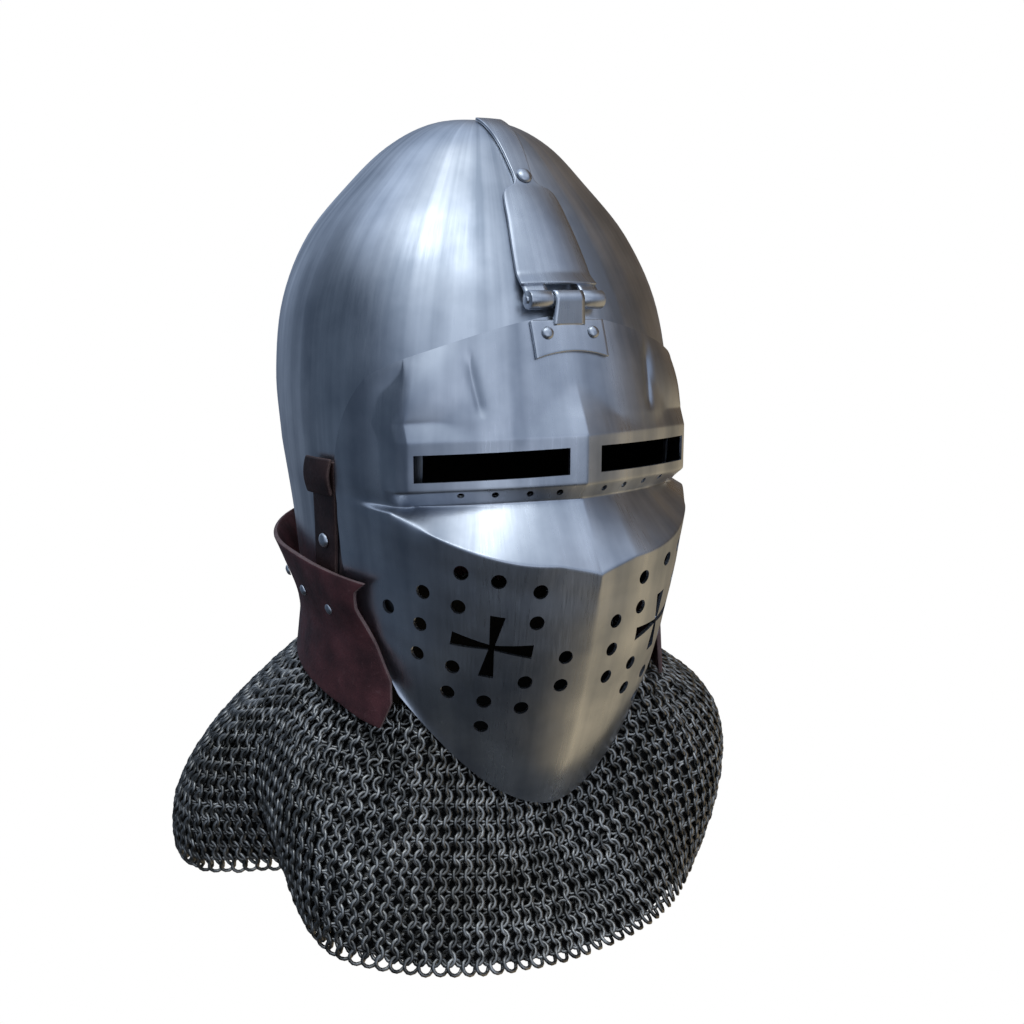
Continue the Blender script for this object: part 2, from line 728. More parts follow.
def drill(cutters, start, ray, radius, sides=28):
    """Adds a cutter for a round hole, square to the visor where a ray meets it."""
    place, normal, _, _ = visor_tree.ray_cast(start, ray)
    made = bmesh.ops.create_cone(
        cutters, cap_ends=True, segments=sides, radius1=radius, radius2=radius,
        depth=2 * CUTTER_LENGTH,
    )["verts"]
    turned = normal.to_track_quat("Z", "Y").to_matrix().to_4x4()
    bmesh.ops.transform(cutters, matrix=Matrix.Translation(place) @ turned, verts=made)


def cross_outline():
    """A cross with flared arms, as X and Z about its centre."""
    tip, waist = CROSS_TIP / 2, CROSS_WAIST / 2
    half_span, half_rise = CROSS_SPAN / 2, CROSS_RISE / 2
    return [
        (waist, waist), (half_span, tip), (half_span, -tip), (waist, -waist),
        (tip, -half_rise), (-tip, -half_rise), (-waist, -waist), (-half_span, -tip),
        (-half_span, tip), (-waist, waist), (-tip, half_rise), (tip, half_rise),
    ]


inwards = Vector((0, 1, 0))
ahead = -2 * BRIDGE_REACH    # a place well in front of the visor
cutters = bmesh.new()
for side in (-1, 1):
    slit = [
        (side * SLIT_INNER, -SLIT_DOWN), (side * SLIT_OUTER, -SLIT_DOWN - SLIT_DROOP),
        (side * SLIT_OUTER, SLIT_UP - SLIT_DROOP), (side * SLIT_INNER, SLIT_UP),
    ]
    prism(cutters, slit, ahead, -0.5 * BOX_END_REACH)
    for angle, down in BREATH_HOLES + [LEFT_ONLY_HOLE] * (side > 0):
        start = Vector((0, -BREATH_AXIS_REACH, -down * CHIN_DOWN))
        drill(cutters, start, heading(math.radians(angle) * side), BREATH_DIAMETER / 2)
    for x in VENT_PLACES:
        drill(cutters, Vector((side * x, ahead, -VENT_DOWN)), inwards, VENT_DIAMETER / 2, 18)
    centre = Vector((side * CROSS_CENTRE[0], ahead, CROSS_CENTRE[1]))
    place, normal, _, _ = visor_tree.ray_cast(centre, inwards)
    cross = prism(cutters, cross_outline(), -CUTTER_LENGTH, CUTTER_LENGTH)
    turned = (-normal).to_track_quat("Y", "Z").to_matrix().to_4x4()
    tilt = Matrix.Rotation(-side * math.radians(CROSS_TILT), 4, "Y")
    bmesh.ops.transform(cutters, matrix=Matrix.Translation(place) @ turned @ tilt, verts=cross)
bmesh.ops.recalc_face_normals(cutters, faces=cutters.faces)
carve(visor, cutters)
add_modifier(visor, "WEIGHTED_NORMAL", keep_sharp=True, weight=60)
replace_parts(visor, "visor")


# Crown hinge
#
# A long waisted plate riveted to the crown, a pin through its two knuckles, and a leaf riveted to
# the visor's brow with the middle knuckle. All are cut from steel plate and filed bright.
HINGE_HEIGHT = 0.0795
KNUCKLE_RADIUS = 0.0044      # with KNUCKLE_GAP, how far the pin's axis stands off the skull
BARREL_RADIUS = 0.0049       # of the outer knuckles as forged
PLATE_CROWN = 0.0016         # how far the plate bulges along its middle
KNUCKLE_GAP = 0.0006
PIN_RADIUS = 0.0021
PIN_END = 0.0012
HINGE_HALF_WIDTH = 0.0225
LEAF_HALF_WIDTH = 0.0218
TONGUE_HALF_WIDTH = 0.0085
SIDE_PLAY = 0.0006
PLATE_WALL = 0.0018
ARM_WALL = 0.0012            # the straps that run from the plate round the knuckles
TONGUE_WALL = 0.0016
TONGUE_STAND = 0.0008        # of the tongue's outside over the barrels
TONGUE_WRAP = (85, 5)        # degrees above level between which the tongue wraps the pin
TONGUE_FOOT = 0.16           # share of the leaf's height at which the tongue ends
FILED_EDGE = 0.0005
SEAT = 0.0003
PLATE_TOP = 0.1745
PLATE_END = 0.945            # share of the way down at which the plate's free edge stands
CROWN_RIVET_HEIGHT = 0.1420
LEAF_FOOT = 0.0500
LEAF_ARCH = 0.0035
LEAF_START = 0.0030
CROWN_RIVET_RADIUS = 0.0045
LEAF_RIVET_RADIUS = 0.0033
LEAF_RIVET_X = 0.0137
LEAF_RIVET_Z = 0.0625
RIVET_RISE = 0.55
RIVET_DINTS = 0.00012

# Outline of the crown plate, upper end to hinge: height as a share of the way up from the hinge
# to PLATE_TOP, and half width as a share of HINGE_HALF_WIDTH.
PLATE_OUTLINE = [
    # height, half width
    (1.000, 0.350),
    (0.930, 0.340),
    (0.830, 0.305),
    (0.735, 0.270),
    (0.660, 0.255),
    (0.615, 0.340),
    (0.578, 0.620),
    (0.525, 0.720),
    (0.420, 0.800),
    (0.295, 0.890),
    (0.170, 0.960),
    (0.085, 0.985),
    (0.000, 1.000),
]


def skull_median(row):
    """Point and outward direction of the skull's front line at a row of the table."""
    along = skull_point(0.0, row + 0.02) - skull_point(0.0, row - 0.02)
    out = Vector((0, along.z, -along.y)).normalized()
    return skull_point(0.0, row), out if out.y < 0 else -out


place, out = skull_median(skull_row_at(HINGE_HEIGHT))
hinge_axis = Vector((0, place.y + (KNUCKLE_RADIUS + KNUCKLE_GAP) / out.y, HINGE_HEIGHT))


def plate_point(across, share, lift):
    """Point of the crown plate: it follows the skull and rises onto the hinge."""
    height, half = spline(PLATE_OUTLINE, share * (len(PLATE_OUTLINE) - 1))
    row = skull_row_at(mix(HINGE_HEIGHT, PLATE_TOP, height))
    height, width, front, _, centre = skull_section(row)
    x = across * half * HINGE_HALF_WIDTH
    edge = min(abs(x) / width, 0.999)
    y = centre - front * (1 - edge ** SKULL_SQUARENESS) ** (1 / SKULL_SQUARENESS)
    _, out = skull_median(row)
    slope = front / width * edge ** (SKULL_SQUARENESS - 1)
    out = Vector((math.copysign(slope, x), out.y, out.z)).normalized()
    rise = (KNUCKLE_RADIUS + KNUCKLE_GAP) * smooth((share - 0.86) / 0.14)
    rise += PLATE_CROWN * (1 - across * across) * smooth((share - 0.4) / 0.3)
    return Vector((x, y, height)) + out * (lift + rise)


def barrel(shape, low, high, radius, sides=36, bevel=0.0004):
    """Adds a cylinder with broken edges on the hinge's axis, from one X to another."""
    made = bmesh.ops.create_cone(
        shape, cap_ends=True, segments=sides, radius1=radius, radius2=radius, depth=high - low
    )["verts"]
    place = hinge_axis + Vector(((low + high) / 2, 0, 0))
    turned = Matrix.Translation(place) @ Matrix.Rotation(math.pi / 2, 4, "Y")
    bmesh.ops.transform(shape, matrix=turned, verts=made)
    edges = {edge for vertex in made for edge in vertex.link_edges if len(edge.link_faces) == 2
             and edge.calc_face_angle() > 1.0}
    bmesh.ops.bevel(
        shape, geom=list(edges), offset=bevel, segments=2, profile=0.5, affect="EDGES", material=-1
    )


hinge_finish = brushed_steel("filed steel", "#dfe2e7", "#b0b5be", 0.30, 0.012, 0.0005, 0.01)
hinge_part = ([hinge_finish], "helmet", "hinge_steel")
leaf_part = ([hinge_finish], "visor", "hinge_steel")

plate_shape = grid_shape(
    20, 72, lambda u, v: plate_point(2 * u - 1, (1 - v) * PLATE_END, SEAT), 0.03
)
plate = finished_mesh("crown_plate", plate_shape, *hinge_part)
thicken(plate, PLATE_WALL, edge=FILED_EDGE)
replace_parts(plate, "hinge_plate")

knuckle_inner = TONGUE_HALF_WIDTH + SIDE_PLAY
knuckle_shape = bmesh.new()
for side in (-1, 1):
    low, high = sorted((side * knuckle_inner, side * HINGE_HALF_WIDTH))
    barrel(knuckle_shape, low, high, BARREL_RADIUS, bevel=0.0009)
finished_mesh("outer_knuckles", knuckle_shape, *hinge_part)

for side, name in ((1, "left"), (-1, "right")):
    def arm_place(u, v, side=side):
        across = mix(knuckle_inner / HINGE_HALF_WIDTH + 0.02, 0.97, u)
        return plate_point(side * across, mix(1.0, 0.88, v), 0.0)

    arm = finished_mesh("knuckle_arm_" + name, grid_shape(6, 12, arm_place, 0.03), *hinge_part)
    thicken(arm, ARM_WALL, offset=0.0)

pin_shape = bmesh.new()
barrel(pin_shape, -HINGE_HALF_WIDTH - PIN_END, HINGE_HALF_WIDTH + PIN_END, PIN_RADIUS, 24, 0.0006)
pin = finished_mesh("pin", pin_shape, *hinge_part)
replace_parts(pin, "hinge_pin")


def leaf_point(across, share):
    """Point of the visor's brow under the leaf, over the keel."""
    foot = LEAF_FOOT + LEAF_ARCH * (1 - across * across)
    z = mix(VISOR_TOP - LEAF_START, foot, share)
    return visor_tree.ray_cast(Vector((across * LEAF_HALF_WIDTH, ahead, z)), inwards)[0]


leaf_shape = grid_shape(24, 14, lambda u, v: leaf_point(2 * u - 1, 1 - v), 0.03)
for vertex in leaf_shape.verts:
    vertex.co += vertex.normal * SEAT
leaf = finished_mesh("brow_leaf", leaf_shape, *leaf_part)
thicken(leaf, PLATE_WALL, edge=FILED_EDGE)
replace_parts(leaf, "hinge_leaf")

# The tongue runs from inside the leaf up between the knuckles and wraps over the pin.
tongue_foot = leaf_point(0.0, TONGUE_FOOT) + Vector((0, 0.0001 - PLATE_WALL - SEAT, 0))


def tongue_place(u, v):
    """Over the front of the barrel and down into the leaf, wider towards the leaf."""
    start, end = TONGUE_WRAP
    wrap = math.radians(mix(start, end, min(v / 0.5, 1.0)))
    reach = mix(KNUCKLE_RADIUS + 0.0002, BARREL_RADIUS + TONGUE_STAND, smooth(v / 0.2))
    rim = hinge_axis + heading(0.0, wrap) * reach
    place = rim.lerp(tongue_foot, max(v - 0.5, 0) / 0.5)
    half = TONGUE_HALF_WIDTH * mix(1.0, 1.12, smooth((v - 0.5) / 0.5))
    return Vector(((2 * u - 1) * half, place.y, place.z))


tongue = finished_mesh("leaf_tongue", grid_shape(8, 20, tongue_place, 0.06), *leaf_part)
thicken(tongue, TONGUE_WALL, offset=-1.0)
middle_shape = bmesh.new()
barrel(middle_shape, -TONGUE_HALF_WIDTH, TONGUE_HALF_WIDTH, KNUCKLE_RADIUS - 0.0001)
finished_mesh("middle_knuckle", middle_shape, *leaf_part)


def dome(name, node, place, normal, radius, part):
    """A hammered rivet head standing on what it is set in."""
    shape = bmesh.new()
    bmesh.ops.create_uvsphere(shape, u_segments=28, v_segments=20, radius=radius)
    below = [vertex for vertex in shape.verts if vertex.co.z < -0.1 * radius]
    bmesh.ops.delete(shape, geom=below, context="VERTS")
    bmesh.ops.holes_fill(shape, edges=[edge for edge in shape.edges if edge.is_boundary])
    bmesh.ops.scale(shape, vec=(1, 1, RIVET_RISE), verts=shape.verts)
    turned = normal.to_track_quat("Z", "Y").to_matrix().to_4x4()
    bmesh.ops.transform(
        shape, matrix=Matrix.Translation(place + normal * SEAT) @ turned, verts=shape.verts
    )
    bmesh.ops.recalc_face_normals(shape, faces=shape.faces)
    for vertex in shape.verts:
        vertex.co += vertex.normal * RIVET_DINTS * noise.noise(vertex.co / (0.6 * radius))
    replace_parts(finished_mesh(name, shape, *part, 60), node)


place, normal = skull_median(skull_row_at(CROWN_RIVET_HEIGHT))
place += normal * (SEAT + PLATE_WALL)
dome("crown_rivet_head", "crown_rivet", place, normal, CROWN_RIVET_RADIUS, hinge_part)
for side, name in ((1, "l"), (-1, "r")):
    start = Vector((side * LEAF_RIVET_X, ahead, LEAF_RIVET_Z))
    place, normal, _, _ = visor_tree.ray_cast(start, inwards)
    place += normal * (SEAT + PLATE_WALL)
    names = ("leaf_rivet_head_" + name, "leaf_rivet_" + name)
    dome(*names, place, normal, LEAF_RIVET_RADIUS, leaf_part)


# Side straps
#
# A short strap of brown leather hangs on each side of the skull from a folded keeper, held by a
# steel stud. The leather is cut 2.4 mm thick, and its pale cut edges are eased.
STRAP_WIDTH = 0.021
STRAP_WALL = 0.0024
STRAP_TOP = -0.003
STRAP_FOOT = -0.066
STRAP_FRONT = 0.0335
STRAP_LEAN = 0.010
KEEPER_TOP = -0.0015
KEEPER_FOOT = -0.0205
KEEPER_WALL = 0.0024
KEEPER_OVERHANG = 0.0012
KEEPER_BULGE = 0.00176
STRAP_EDGE = 0.0007
KEEPER_EDGE = 0.0011
STUD_RADIUS = 0.0042
STUD_ACROSS = -0.05
STUD_HEIGHT = -0.047
DYE_CLOUD_SIZE = 0.022
PORE_SIZE = 0.0009           # a pore is about 0.3 mm wide and is drawn larger, so that it shows
CREASE_SIZE = 0.004


# Vegetable tanned cowhide, dyed and waxed: the eye sees cloudy colour, fine pores, creases that
# catch the light, and pale rubbed spots on their ridges.
def tanned_leather(name, light, dark, worn, roughness=0.52):
    material, shader, place = new_material(name, Metallic=0.0, IOR=1.45)
    clouds = cloud(material, place, DYE_CLOUD_SIZE, 5.0)
    pores = add_node(
        material, "ShaderNodeTexVoronoi", {"Vector": place, "Scale": 1 / PORE_SIZE},
        feature="DISTANCE_TO_EDGE",
    ).outputs["Distance"]
    creases = cloud(material, place, CREASE_SIZE, 8.0, Roughness=0.65, Distortion=0.6)
    dyed = blend(material, remap(material, clouds, (0.35, 0.68)), dark, light)
    rubbed = remap(material, creases, (0.58, 0.78), 0.0, 0.55)
    rough = remap(material, creases, NOISE_SPAN, roughness - 0.09, roughness + 0.12)
    pitted = bump(material, pores, 0.25, 0.0002)
    normal = bump(material, creases, 0.5, 0.0009, Normal=pitted)
    return drive(material, shader, blend(material, rubbed, dyed, worn), rough, normal)


def strap_point(side, across, height, lift):
    """Point on the skull's side at a place across the strap's width, -0.5 front to 0.5 rear."""
    lean = STRAP_LEAN * (STRAP_TOP - height) / (STRAP_TOP - STRAP_FOOT)
    y = -STRAP_FRONT + STRAP_WIDTH * (across + 0.5) + lean
    return Vector((side * skull_side(y, height, lift), y, height))


brown_leather = tanned_leather("brown vegetable tanned leather", "#4a3330", "#2b1d1d", "#6d5450")
cut_brown = tanned_leather("cut edge of brown leather", "#6a524b", "#4a3733", "#8b7469", 0.7)
strap_part = ([brown_leather, cut_brown], "helmet", "brown_leather", 60)

for side, name in ((1, "l"), (-1, "r")):
    def strap_under(u, v, side=side):
        return strap_point(side, u - 0.5, mix(STRAP_FOOT, STRAP_TOP, v), SEAT)

    shape = grid_shape(10, 32, strap_under, STRAP_FOOT)
    strap = finished_mesh("hanging_strap_" + name, shape, *strap_part)
    thicken(strap, STRAP_WALL, edge=STRAP_EDGE)
    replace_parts(strap, "side_strap_" + name)

    def keeper_under(u, v, side=side):
        lift = 2 * SEAT + STRAP_WALL + KEEPER_BULGE * math.sin(math.pi * v)
        across = (u - 0.5) * (1 + 2 * KEEPER_OVERHANG / STRAP_WIDTH)
        return strap_point(side, across, mix(KEEPER_FOOT, KEEPER_TOP, v), lift)

    shape = grid_shape(10, 16, keeper_under, KEEPER_FOOT)
    keeper = finished_mesh("folded_keeper_" + name, shape, *strap_part)
    thicken(keeper, KEEPER_WALL, edge=KEEPER_EDGE)
    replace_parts(keeper, "strap_keeper_" + name)

    lift = SEAT + STRAP_WALL
    place = strap_point(side, STUD_ACROSS, STUD_HEIGHT, lift)
    along = strap_point(side, STUD_ACROSS + 0.2, STUD_HEIGHT, lift) - place
    above = strap_point(side, STUD_ACROSS, STUD_HEIGHT + 0.004, lift) - place
    normal = along.cross(above).normalized()
    normal = normal if normal.x * side > 0 else -normal
    dome("stud_head_" + name, "strap_stud_" + name, place, normal, STUD_RADIUS, hinge_part)


# Leather band
#
# A collar of oxblood leather 2.6 mm thick, riveted round the skull's lower edge. The mail hangs
# from its foot, its upper rim leans out at the back, and its front tips lap over the visor.
BAND_WALL = 0.0026
BAND_STAND = 0.0034
BAND_SEAT = 0.0005
BAND_SEAT_RISE = 0.030
BAND_FLARE = 0.0075
BAND_TOP_DOWN = 0.058
BAND_TOP_TILT = 0.012
BAND_FOOT_DOWN = 0.131
BAND_FOOT_TILT = 0.020
BAND_END_GAP = 0.0030
BAND_END_FLARE = 0.0050
BAND_SPREAD = 0.06
BAND_RIVET_UP = 0.70
BAND_RIVET_ANGLES = [78.0, 95.0, 113.0, 134.0, 158.0]
BAND_RIVET_RADIUS = 0.0032
BAND_SLACK = 0.0009          # how far the leather waves in and out
BAND_WAVE = 0.032            # length of those waves
BAND_LAP_CLEAR = 0.0016      # gap to the visor where the ends lap over it

# How far each end of the band laps forward, in radians, at shares of its height from foot to rim.
BAND_LAP = [(0.0, 0.0), (0.35, 0.12), (0.80, 0.08), (0.92, 0.12), (1.0, 0.21)]


def band_heights(angle):
    """Heights of the band's rim and foot at an angle."""
    top = -BAND_TOP_DOWN - BAND_TOP_TILT * math.cos(angle)
    foot = -BAND_FOOT_DOWN - BAND_FOOT_TILT * math.cos(angle)
    return top, foot


def band_end_angle(height):
    """Angle from the face at which the band stops behind the visor's rear edge."""
    y = rear_edge(max(height, -REAR_FOOT)) + BAND_END_GAP
    return math.atan2(skull_side(y, max(height, -SKULL_DROP), BAND_STAND), -y)


def band_point(share, up):
    """Point of the band's inside. Share 0 is the right end, 0.5 the nape and 1 the left end."""
    side = -1 if share < 0.5 else 1
    round_share = 1 - abs(2 * share - 1)
    top, foot = band_heights(mix(math.radians(66), math.pi, round_share))
    end = band_end_angle(mix(foot, top, up))
    lap = float(np.interp(up, *zip(*BAND_LAP))) * (1 - smooth(round_share / 0.25))
    angle = mix(end, math.pi, round_share) - lap
    top, foot = band_heights(angle)
    height = mix(foot, top, up)
    flare = BAND_FLARE * smooth(round_share / 0.35)
    flare *= (2 * up - 1) ** 2 if up > 0.5 else 0.25 * (1 - 2 * up)
    flare += BAND_END_FLARE * (1 - smooth(round_share / 0.18))
    flare += BAND_SPREAD * max(-SKULL_DROP - height, 0.0)
    stand = mix(BAND_SEAT, BAND_STAND, smooth((height + SKULL_DROP) / BAND_SEAT_RISE))
    place = skull_point(angle, skull_row_at(max(height, -SKULL_DROP)), stand + flare)
    place = Vector((side * abs(place.x), place.y, height))
    ray = Vector((place.x, place.y, 0)).normalized()
    under = visor_tree.ray_cast(Vector((0, 0, height)), ray)[0]
    if under and place.xy.length < under.xy.length + BAND_LAP_CLEAR:
        place = under + ray * BAND_LAP_CLEAR
    return place


oxblood_leather = tanned_leather(
    "oxblood vegetable tanned leather", "#714041", "#452728", "#8b6867"
)
cut_oxblood = tanned_leather("cut edge of oxblood leather", "#8f7672", "#6b5350", "#a58f88", 0.66)

band_shape = grid_shape(150, 26, band_point, -0.09)
band_tree = BVHTree.FromBMesh(band_shape)
for vertex in band_shape.verts:
    wave = noise.noise(vertex.co / BAND_WAVE) * smooth((vertex.co.z + SKULL_DROP) / 0.02)
    vertex.co += vertex.normal * BAND_SLACK * max(wave, -0.3)
band = finished_mesh(
    "collar_band", band_shape, [oxblood_leather, cut_oxblood], "helmet", "oxblood_leather", 60
)
thicken(band, BAND_WALL, edge=STRAP_EDGE)
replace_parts(band, "leather_band")

for side, name in ((1, "l"), (-1, "r")):
    for number, degrees in enumerate(BAND_RIVET_ANGLES, 1):
        angle = math.radians(degrees)
        top, foot = band_heights(angle)
        ray = heading(side * angle)
        start = Vector((0, 0, mix(foot, top, BAND_RIVET_UP)))
        place, normal, _, _ = band_tree.ray_cast(start, ray)
        normal = normal if normal.dot(ray) > 0 else -normal
        place += normal * BAND_WALL
        names = (f"collar_rivet_{name}{number}", f"band_rivet_{name}{number}")
        dome(*names, place, normal, BAND_RIVET_RADIUS, hinge_part)


# Mail
#
# A curtain of round steel rings, each passed through two rings of the row above and two of the row
# below. The rows run level, parallel to the hem, and rings are left out where the curtain narrows.
MAIL_WALL = 0.0040
MAIL_TUCK = 0.010
MAIL_CLEAR = 0.0030
MAIL_OVERLAP = 0.0020
MAIL_SEAT = 0.0004
MAIL_UNDER = 0.0030
HEM_DOWN = 0.257
HEM_REACH = 0.180
RING_RADIUS = 0.0041         # to the middle of the wire
RING_WIRE = 0.00105
RING_PITCH = 0.0073
ROW_PITCH = 0.0045
RING_LEAN = 28               # degrees that a ring is turned out of the curtain
LEAN_SPREAD = 5              # how far that varies, how far a ring nods, and how far it is moved
NOD_SPREAD = 7
RING_SHIFT = 0.0002
RING_STEPS = 12
WIRE_SIDES = 5
NARROWING = 0.86             # share of the pitch at which a ring is left out
NEAR = 0.002                 # distance over which a direction along the curtain is measured
LINE_STEPS = 90
SAMPLES = 720

# By angle from the face's direction, positive towards +X: shoulder and hem radii as shares of
# HEM_REACH, the hem's height as a share of HEM_DOWN, and how far up the shoulder bulges.
MAIL_FOLDS = [
    # angle, shoulder, hem, drop, lift
    (-180, 0.98, 0.95, 1.00, 0.36),
    (-160, 1.02, 1.02, 1.00, 0.42),
    (-140, 1.06, 1.06, 1.00, 0.50),
    (-122, 1.11, 1.04, 0.99, 0.52),
    (-109, 1.09, 0.92, 0.98, 0.48),
    (-99, 0.92, 0.66, 0.96, 0.40),
    (-90, 0.88, 0.66, 0.97, 0.40),
    (-78, 0.88, 0.72, 0.99, 0.42),
    (-62, 0.84, 0.79, 1.00, 0.50),
    (-45, 0.70, 0.77, 1.01, 0.62),
    (-22, 0.58, 0.73, 1.01, 0.72),
    (0, 0.54, 0.70, 1.01, 0.75),
    (22, 0.58, 0.71, 1.00, 0.72),
    (45, 0.72, 0.71, 1.00, 0.60),
    (60, 0.92, 0.74, 0.99, 0.40),
    (74, 1.05, 0.78, 0.96, 0.26),
    (90, 1.09, 0.86, 0.94, 0.26),
    (112, 1.06, 0.94, 0.95, 0.26),
    (138, 1.02, 1.00, 0.98, 0.30),
    (160, 1.00, 1.00, 1.00, 0.30),
]


def mail_fold(angle):
    """Shoulder, hem, drop and lift at an angle, on a smooth closed curve through the folds."""
    rows = MAIL_FOLDS + [(MAIL_FOLDS[0][0] + 360, *MAIL_FOLDS[0][1:])]
    angles = [row[0] for row in rows]
    position = float(np.interp(math.degrees(angle), angles, range(len(angles))))
    return spline([row[1:] for row in rows], position)


chin_line = [visor_point(column, "face", 1.0) for column in range(FRONT_SPAN + SIDE_SPAN + 1)]
chin_angles = [math.atan2(point.x, -point.y) for point in chin_line]
chin_reaches = [math.hypot(point.x, point.y) for point in chin_line]
chin_heights = [point.z for point in chin_line]


def band_reach(angle, height):
    """Radius of the band's inside, in front of its ends that of the end."""
    for beyond in range(60):
        ray = heading(abs(angle) + math.radians(beyond))
        place = band_tree.ray_cast(Vector((0, 0, height)), ray)[0]
        if place:
            return place.xy.length
    return SKULL_HALF_WIDTH


def throat(angle):
    """Radius and height at which the mail leaves the visor's lower edge or the band's."""
    side = abs(angle)
    _, foot = band_heights(max(side, chin_angles[-1]))
    inside = band_reach(side, foot + 0.5 * MAIL_TUCK) - MAIL_SEAT
    past = math.degrees(side - chin_angles[-1])
    out, down = smooth((past - 4) / 9), smooth((past + 8) / 12)
    face_reach = float(np.interp(side, chin_angles, chin_reaches)) - VISOR_WALL - MAIL_CLEAR
    face_height = float(np.interp(side, chin_angles, chin_heights)) + MAIL_OVERLAP
    return mix(face_reach, inside, out), mix(face_height, foot - MAIL_UNDER, down)


def mail_line(angle):
    """The curtain's outside at an angle, from hem to hidden edge, as reach and height."""
    reach, height = throat(angle)
    shoulder, hem, drop, lift = mail_fold(angle)
    foot = -HEM_DOWN * drop
    line = []
    for step in range(LINE_STEPS + 1):
        share = 1 - step / LINE_STEPS
        weights = ((1 - share) ** 2, 2 * share * (1 - share), share ** 2)
        reaches = (reach, shoulder * HEM_REACH, hem * HEM_REACH)
        heights = (height, mix(height, foot, lift), foot)
        line.append((np.dot(weights, reaches), np.dot(weights, heights)))
    tuck = [(reach - 0.15 * MAIL_TUCK * share, height + MAIL_TUCK * share) for share in (0.5, 1.0)]
    return np.array(line + tuck)


def run_of(points):
    """Distance along a line of points to each of them."""
    return np.concatenate([[0.0], np.cumsum(np.linalg.norm(np.diff(points, axis=0), axis=1))])


def between(place, places, points):
    """The point at a place on a line of points."""
    return np.array([np.interp(place, places, points[:, axis]) for axis in range(points.shape[1])])


samples = np.linspace(-math.pi, math.pi, SAMPLES + 1)
lines = [mail_line(angle) for angle in samples]
lengths = [run_of(line) for line in lines]
tops = [length[-1] for length in lengths]


def row_curve(slant, inward=MAIL_WALL / 2):
    """Points of the row at a slant distance above the hem, one for each sampled angle."""
    points = []
    for angle, line, length in zip(samples, lines, lengths):
        place = min(slant, length[-1])
        above = min(place + NEAR, length[-1])
        rise = between(above, length, line) - between(above - 2 * NEAR, length, line)
        rise /= np.hypot(*rise)
        reach, height = between(place, length, line) + inward * np.array([-rise[1], rise[0]])
        points.append((reach * math.sin(angle), -reach * math.cos(angle), height))
    return np.array(points)


def closed_gaps(places, total):
    """Gaps between the rings of a closed row, the last one back to the first."""
    return np.diff(np.append(places, places[0] + total))


def spread_rings(places, total):
    """Leaves out rings that crowd, adds rings where the row opens, and evens the spacing."""
    while True:
        gaps = closed_gaps(places, total)
        tight, wide = int(np.argmin(gaps)), int(np.argmax(gaps))
        if gaps[tight] < NARROWING * RING_PITCH and total / len(places) < 1.02 * RING_PITCH:
            places = np.delete(places, (tight + 1) % len(places))
        elif gaps[wide] > RING_PITCH / NARROWING ** 2:
            places = np.sort(np.append(places, places[wide] + gaps[wide] / 2) % total)
        else:
            return places
        for _ in range(6):
            before, after = np.roll(places, 1), np.roll(places, -1)
            before[0] -= total
            after[-1] += total
            places = places + 0.4 * ((before + after) / 2 - places)
        places = np.sort(places % total)


# The curtain's pieces, each up to an angle from the face's direction.
sector_ends = [
    (-128, "back_right"), (-52, "right"), (52, "front"), (128, "left"), (181, "back_left"),
]
mail_sectors = {name: [] for name in ("front", "left", "back_left", "back_right", "right")}
dice = random.Random(7)
ring_angles = None
slant, lean_side = RING_RADIUS * 0.9, -1
while slant < max(tops):
    curve = row_curve(slant)
    run = run_of(curve)
    total = run[-1]
    if ring_angles is None:
        places = np.arange(round(total / RING_PITCH)) * total / round(total / RING_PITCH)
    else:
        places = np.interp(ring_angles, samples, run)
        places = (places + closed_gaps(places, total) / 2) % total
        places = spread_rings(np.sort(places), total)
    ring_angles = np.interp(places, run, samples)
    rises = row_curve(min(slant + NEAR, max(tops))) - curve
    for place, angle in zip(places, ring_angles):
        if slant > np.interp(angle, samples, tops) - 0.001:
            continue
        here = Vector(between(place, run, curve))
        along = (Vector(between((place + NEAR) % total, run, curve)) - here).normalized()
        rise = Vector(between(angle, samples, rises))
        outward = along.cross(rise).normalized()
        if outward.dot(Vector((here.x, here.y, 0))) < 0:
            outward = -outward
        rise = rise.normalized()
        lean = math.radians(RING_LEAN + dice.uniform(-LEAN_SPREAD, LEAN_SPREAD)) * lean_side
        nod = math.radians(dice.uniform(-NOD_SPREAD, NOD_SPREAD))
        across = along * math.cos(lean) + outward * math.sin(lean)
        upward = (rise * math.cos(nod) + outward * math.sin(nod)).normalized()
        facing = across.cross(upward).normalized()
        turned = Matrix((across, facing.cross(across), facing)).transposed()
        shift = Vector([dice.uniform(-1, 1) for _ in range(3)]) * RING_SHIFT
        name = next(name for end, name in sector_ends if math.degrees(angle) < end)
        mail_sectors[name].append((turned, here + shift))
    slant += ROW_PITCH
    lean_side = -lean_side

ring_shape = bmesh.new()
section = bmesh.ops.create_circle(ring_shape, segments=WIRE_SIDES, radius=RING_WIRE)["verts"]
bmesh.ops.rotate(ring_shape, verts=section, matrix=Matrix.Rotation(math.pi / 2, 3, "X"))
bmesh.ops.translate(ring_shape, verts=section, vec=(RING_RADIUS, 0, 0))
bmesh.ops.spin(
    ring_shape, geom=ring_shape.edges[:], cent=(0, 0, 0), axis=(0, 0, 1), angle=2 * math.pi,
    steps=RING_STEPS, use_merge=True, use_duplicate=False,
)
bmesh.ops.remove_doubles(ring_shape, verts=ring_shape.verts, dist=0.00001)
bmesh.ops.recalc_face_normals(ring_shape, faces=ring_shape.faces)
ring_points = np.array([vertex.co[:] for vertex in ring_shape.verts])
ring_mesh = mesh_of("ring", ring_shape)

